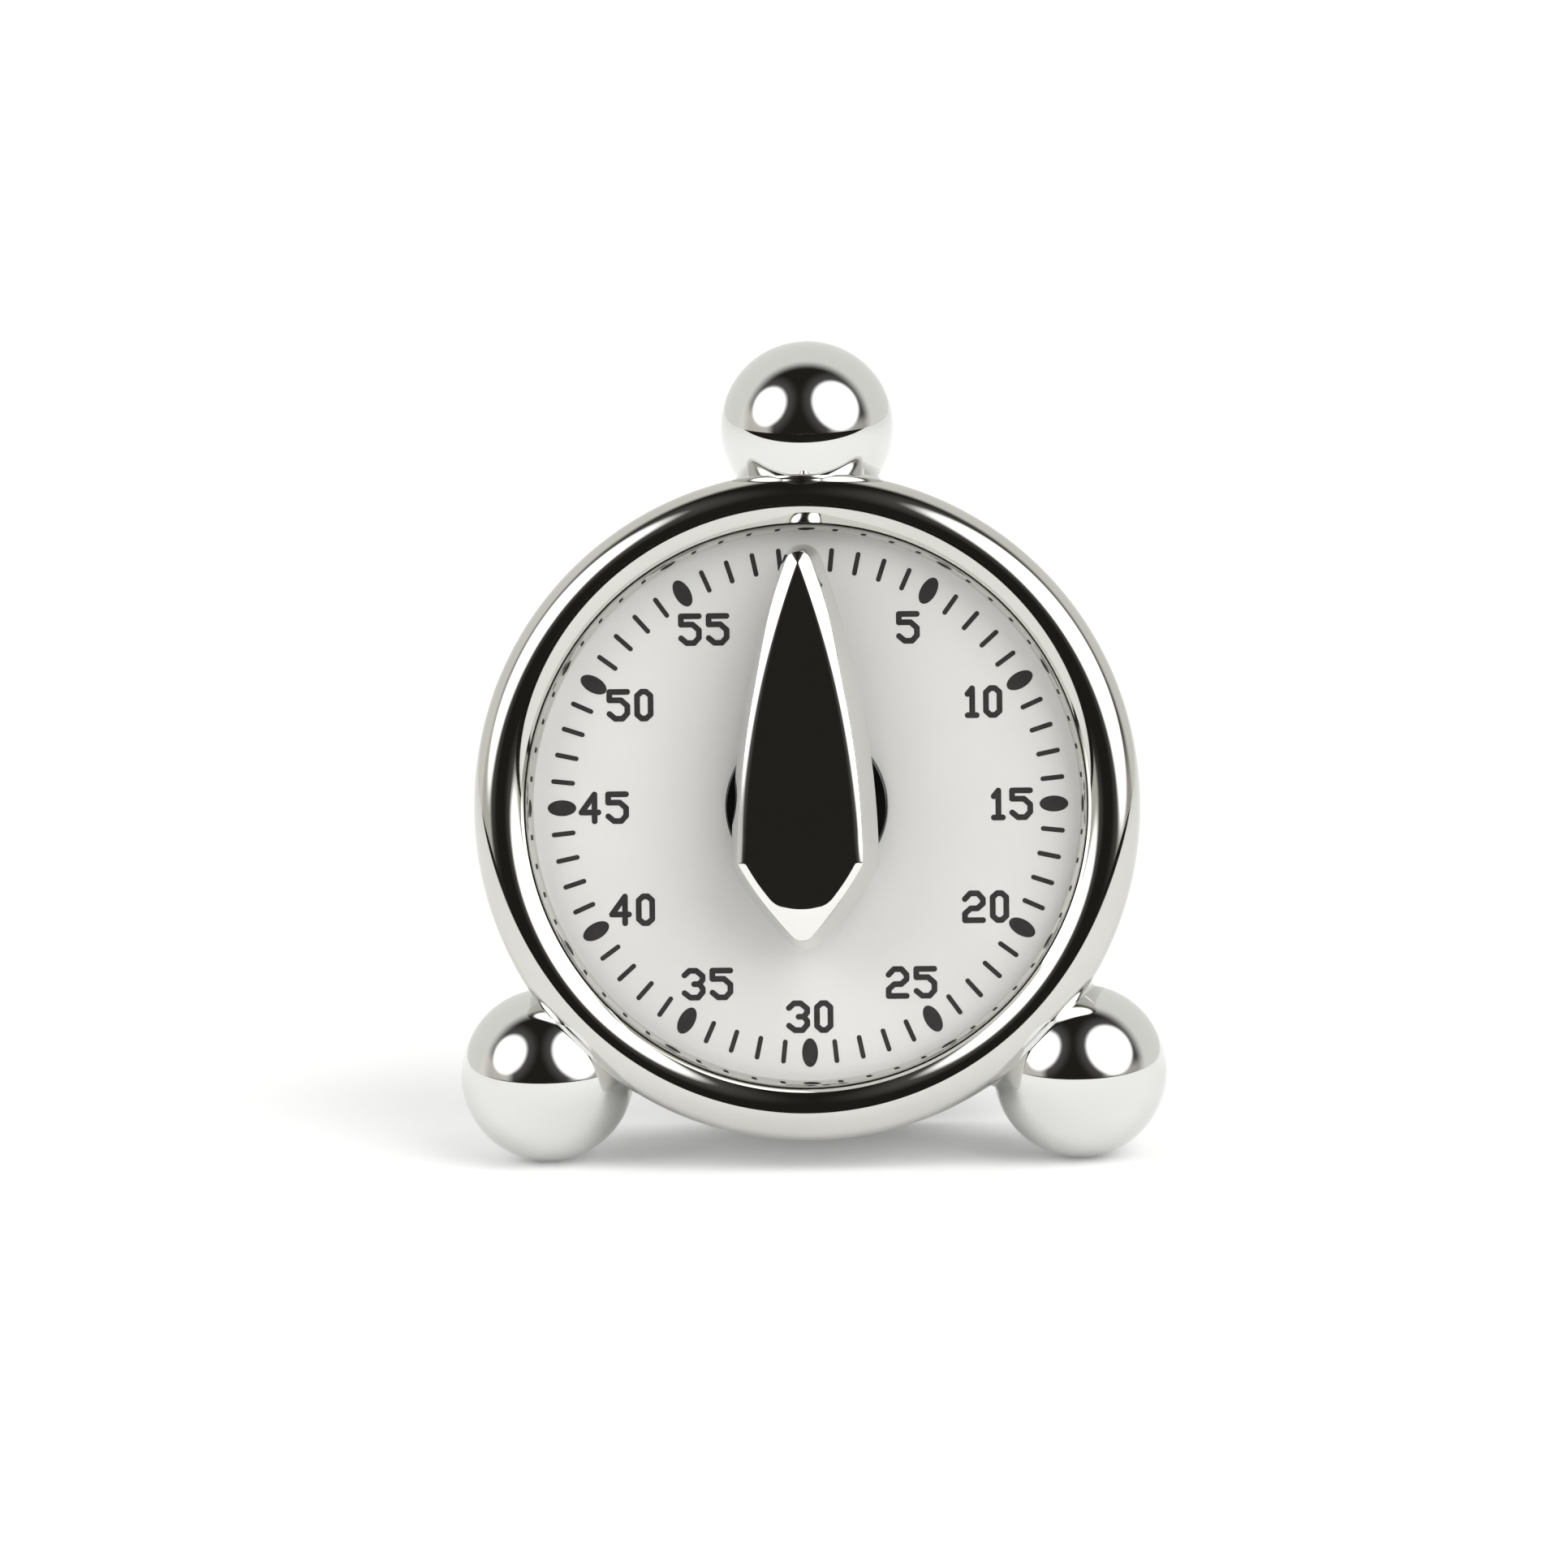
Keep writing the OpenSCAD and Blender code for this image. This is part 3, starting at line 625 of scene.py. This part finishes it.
# Low pale walls at each side: azimuths where one starts, is full, is last full and ends, the elevation
# it fades out at, the one it is full below, and its share of light
LOW_WALLS = (
    (30, 44, 92, 108, 15, 3, 0.42),
    (-39, -52, -90, -104, 27, 12, 0.6),
)

# Soft lamps: azimuth, elevation, radius and brightness
LAMPS = (
    (53, 33, 27, 3.4),
    (-56, 31, 19, 3.0),
)
LAMP_SOFT_IN, LAMP_SOFT_OUT = 5, 8
HALO_REACH, HALO_GLOW = 22, 0.09

# The dark side is centred a little above the camera and fades out square to it
DARK_LIFT = 3
DARK_START, DARK_FULL = 98, 80

# A black sheet past the table, painted shade for the unlit room there: where it starts, how far it goes, and a
# lift that keeps it off the floor
TABLE_NEAR, TABLE_FAR, TABLE_SIDE = -0.40, -11.0, 11.0
TABLE_LIFT = 0.0015


def build_floor():
    mesh = bpy.data.meshes.new("floor")
    bm = bmesh.new()
    lathe(bm, [(r, 0) for r in FLOOR_RINGS], 96, False)
    bm.to_mesh(mesh)
    bm.free()
    obj = add_object("floor", mesh)
    m, tree, shader = new_tree("floor_white")
    cloudy = noise(tree, 3.0)
    tree.links.new(tint(tree, cloudy, (0.86, 0.86, 0.86), (0.88, 0.88, 0.88)), shader.inputs["Base Color"])
    tree.links.new(spread(tree, noise(tree, 7.0), 0.16, 0.2), shader.inputs["Roughness"])
    shader.inputs["Emission Color"].default_value = (1, 1, 1, 1)
    shader.inputs["Emission Strength"].default_value = FLOOR_GLOW
    shader.inputs["Specular IOR Level"].default_value = 0
    mesh.materials.append(m)


def build_world():
    """A studio as the chrome sees it: pale walls, a dark room behind the camera and two soft lamps."""
    world = bpy.data.worlds.new("studio")
    bpy.context.scene.world = world
    world.use_nodes = True
    tree = world.node_tree
    tree.nodes.clear()
    link = tree.links.new

    def math_node(op, a, b):
        made = tree.nodes.new("ShaderNodeMath")
        made.operation = op
        for slot, v in zip(made.inputs, (a, b)):
            if isinstance(v, (int, float)):
                slot.default_value = v
            else:
                link(v, slot)
        return made.outputs[0]

    coord = tree.nodes.new("ShaderNodeTexCoord").outputs["Generated"]

    def facing(azimuth, elevation):
        """How squarely a direction points at an azimuth and elevation: the cosine between them."""
        a, e = math.radians(azimuth), math.radians(elevation)
        dot = tree.nodes.new("ShaderNodeVectorMath")
        dot.operation = "DOT_PRODUCT"
        link(coord, dot.inputs[0])
        dot.inputs[1].default_value = (math.sin(a) * math.cos(e), -math.cos(a) * math.cos(e), math.sin(e))
        return dot.outputs["Value"]

    def fade(value, low, high):
        """0 at low, 1 at high and a smooth step between; low may be the greater."""
        made = tree.nodes.new("ShaderNodeMapRange")
        made.interpolation_type = "SMOOTHSTEP"
        made.inputs["From Min"].default_value = low
        made.inputs["From Max"].default_value = high
        link(value, made.inputs["Value"])
        return made.outputs["Result"]

    def mix(factor, a, b):
        made = tree.nodes.new("ShaderNodeMix")
        made.data_type = "RGBA"
        link(factor, made.inputs[0])
        for slot, v in ((made.inputs[6], a), (made.inputs[7], b)):
            if isinstance(v, tuple):
                slot.default_value = (*v, 1)
            else:
                link(v, slot)
        return made.outputs[2]

    def cos_deg(degrees):
        return math.cos(math.radians(degrees))

    split = tree.nodes.new("ShaderNodeSeparateXYZ")
    link(coord, split.inputs[0])
    round_about = math_node("ARCTAN2", split.outputs["X"], math_node("MULTIPLY", split.outputs["Y"], -1))
    low_walls = None
    for start, full, last, end, top, under, glow in LOW_WALLS:
        spans = math_node(
            "MULTIPLY",
            fade(round_about, math.radians(start), math.radians(full)),
            fade(round_about, math.radians(end), math.radians(last)),
        )
        low = fade(split.outputs["Z"], math.sin(math.radians(top)), math.sin(math.radians(under)))
        share = math_node("MULTIPLY", math_node("MULTIPLY", spans, low), glow)
        low_walls = share if low_walls is None else math_node("ADD", low_walls, share)
    behind = fade(facing(AZIMUTH, ELEVATION + DARK_LIFT), cos_deg(DARK_START), cos_deg(DARK_FULL))
    room = mix(low_walls, mix(behind, PALE, DARK), LIT_WALL)
    lamps = None
    for azimuth, elevation, radius, glow in LAMPS:
        centre = facing(azimuth, elevation)
        disc = fade(centre, cos_deg(radius + LAMP_SOFT_OUT), cos_deg(radius - LAMP_SOFT_IN))
        glimmer = fade(centre, cos_deg(radius + HALO_REACH), cos_deg(radius))
        both = math_node("ADD", math_node("MULTIPLY", disc, glow), math_node("MULTIPLY", glimmer, HALO_GLOW))
        lamps = both if lamps is None else math_node("ADD", lamps, both)
    add = tree.nodes.new("ShaderNodeMix")
    add.data_type = "RGBA"
    add.blend_type = "ADD"
    add.inputs[0].default_value = 1
    link(room, add.inputs[6])
    link(lamps, add.inputs[7])
    studio = tree.nodes.new("ShaderNodeBackground")
    link(add.outputs[2], studio.inputs["Color"])
    plain = tree.nodes.new("ShaderNodeBackground")
    plain.inputs["Color"].default_value = (1, 1, 1, 1)
    choose = tree.nodes.new("ShaderNodeMixShader")
    rays = tree.nodes.new("ShaderNodeLightPath")
    link(rays.outputs["Is Camera Ray"], choose.inputs["Fac"])
    link(studio.outputs[0], choose.inputs[1])
    link(plain.outputs[0], choose.inputs[2])
    out = tree.nodes.new("ShaderNodeOutputWorld")
    link(choose.outputs[0], out.inputs["Surface"])


def build_soft_box():
    """A broad light overhead, too far above to show in the chrome."""
    data = bpy.data.lights.new("soft_box", "AREA")
    data.shape = "DISK"
    data.size = 1.4
    data.energy = 4.6
    obj = bpy.data.objects.new("soft_box", data)
    obj.location = (0.1, -0.25, 1.3)
    obj.rotation_euler = (math.radians(-11), 0, 0)
    obj.visible_glossy = False
    bpy.context.scene.collection.objects.link(obj)


def build_table_end():
    """Painted shade: a black sheet standing in for the unlit room past the table's front edge, seen only in the
    chrome.
    """
    mesh = bpy.data.meshes.new("table_end")
    corners = (
        (-TABLE_SIDE, TABLE_FAR),
        (TABLE_SIDE, TABLE_FAR),
        (TABLE_SIDE, TABLE_NEAR),
        (-TABLE_SIDE, TABLE_NEAR),
    )
    mesh.from_pydata([(x, y, TABLE_LIFT) for x, y in corners], [], [(0, 1, 2, 3)])
    obj = add_object("table_end", mesh)
    m, tree, shader = new_tree("unlit_room_painted_shade")
    # Near-black colour standing in for the unlit room: painted shade
    tree.links.new(tint(tree, noise(tree, 2.0), (0.012, 0.012, 0.01), DARK), shader.inputs["Base Color"])
    tree.links.new(spread(tree, noise(tree, 5.0), 0.7, 0.9), shader.inputs["Roughness"])
    shader.inputs["Specular IOR Level"].default_value = 0
    mesh.materials.append(m)
    obj.visible_camera = False
    obj.visible_shadow = False
    obj.visible_diffuse = False


bpy.context.scene.view_settings.view_transform = "Standard"
dress_cad()
build_bezel()
build_drum()
for ball_name, ball_angle in (("top_ball", 90), ("left_foot", 225), ("right_foot", 315)):
    build_ball(ball_name, ball_angle)
build_knob()
build_hub()
build_print()
build_floor()
build_table_end()
build_soft_box()
build_world()
